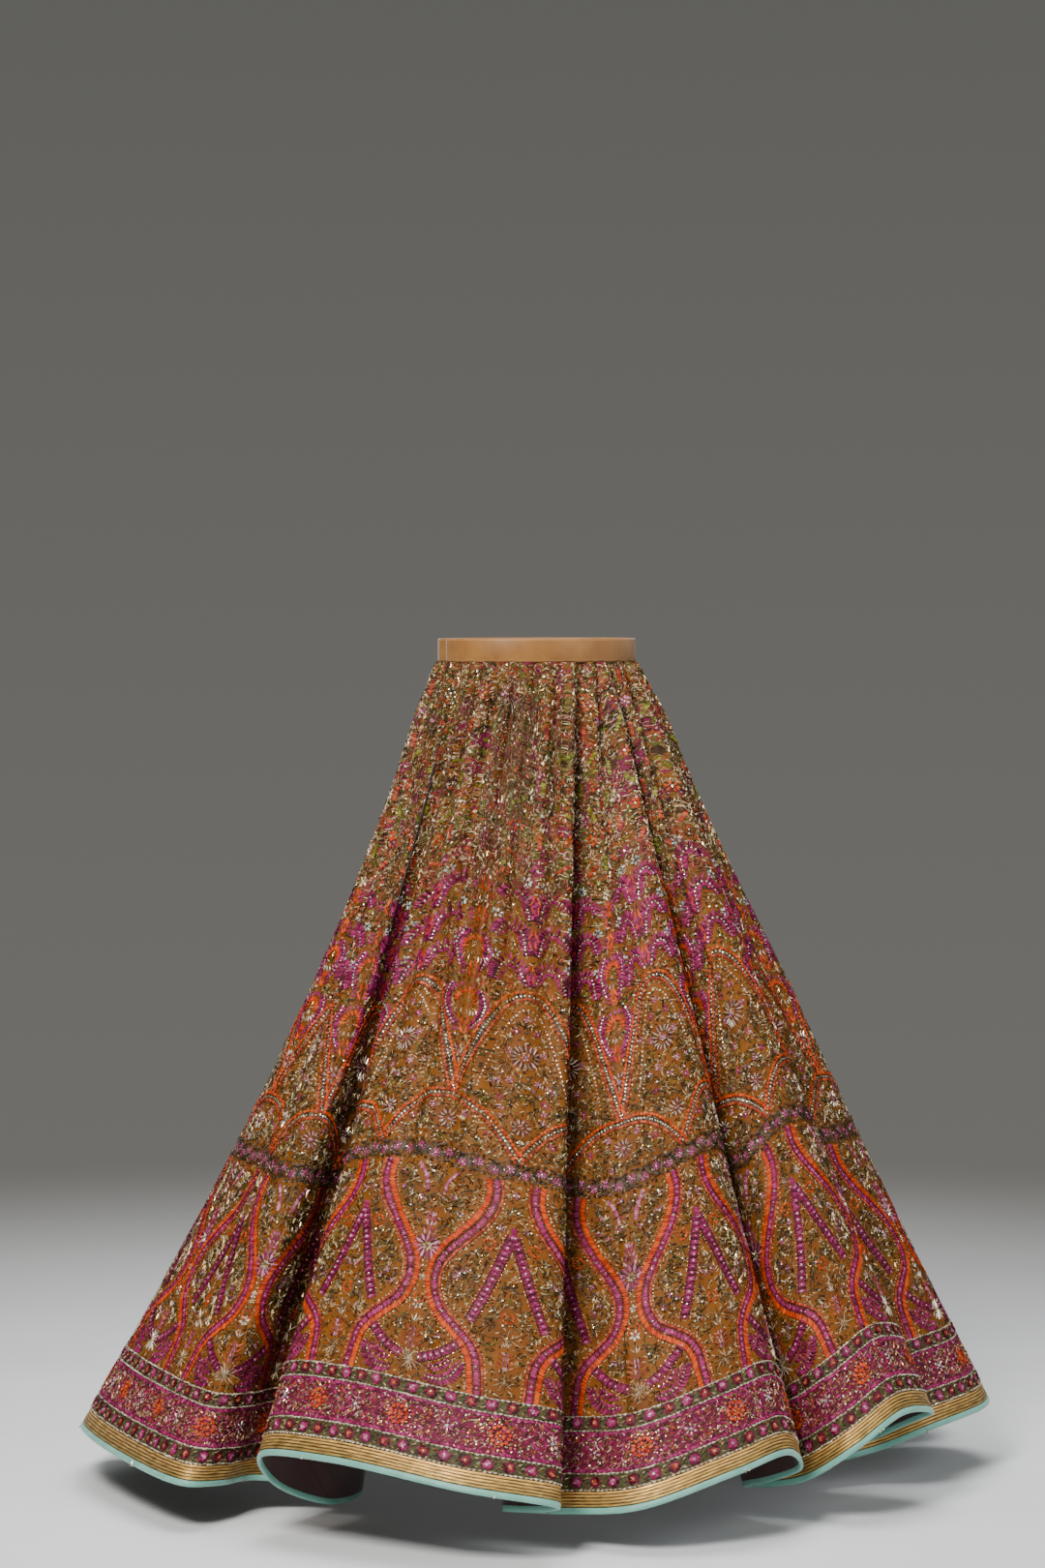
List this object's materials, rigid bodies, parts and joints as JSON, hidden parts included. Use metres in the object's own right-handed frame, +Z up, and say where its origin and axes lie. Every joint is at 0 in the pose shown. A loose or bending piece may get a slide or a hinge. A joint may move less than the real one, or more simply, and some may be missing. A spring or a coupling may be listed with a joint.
{
  "type": "lehenga skirt in its worn form",
  "caption": "Floor-length flared lehenga skirt of embroidered kali panels on a waistband, with deep folds, a beaded border, a gold tape and a bound hem.",
  "frame": {"origin": "middle of the waistband's top edge, where the wearer holds the skirt up", "axes": "+Z up, -Y towards the wearer's front, +X towards the wearer's left"},
  "size_m": [1.1674, 1.1377, 1.0437],
  "materials": {
    "embroidered_silk": "mustard ochre silk, thickly worked in orange, magenta and gold thread, beads and sequins",
    "border_silk": "magenta silk between two dark green bands, beaded and embroidered",
    "gold_braid": "woven metallic gold braid",
    "aqua_satin": "aqua satin binding",
    "maroon_lining": "dark maroon matt lining",
    "hook_steel": "plain steel"
  },
  "bodies": {
    "root": {"kali_01": "embroidered_silk", "kali_02": "embroidered_silk", "kali_03": "embroidered_silk", "kali_04": "embroidered_silk", "kali_05": "embroidered_silk", "kali_06": "embroidered_silk", "kali_07": "embroidered_silk", "kali_08": "embroidered_silk", "kali_09": "embroidered_silk", "kali_10": "embroidered_silk", "kali_11": "embroidered_silk", "kali_12": "embroidered_silk", "kali_13": "embroidered_silk", "kali_14": "embroidered_silk", "kali_15": "embroidered_silk", "kali_16": "embroidered_silk", "kali_17": "embroidered_silk", "kali_18": "embroidered_silk", "kali_19": "embroidered_silk", "kali_20": "embroidered_silk", "kali_21": "embroidered_silk", "kali_22": "embroidered_silk", "kali_23": "embroidered_silk", "kali_24": "embroidered_silk", "lining": "maroon_lining", "hem_border": "border_silk", "gold_tape": "gold_braid", "hem_piping": "aqua_satin", "waistband": "embroidered_silk", "waist_hook": "hook_steel", "waist_bar": "hook_steel"}
  },
  "joints": []
}
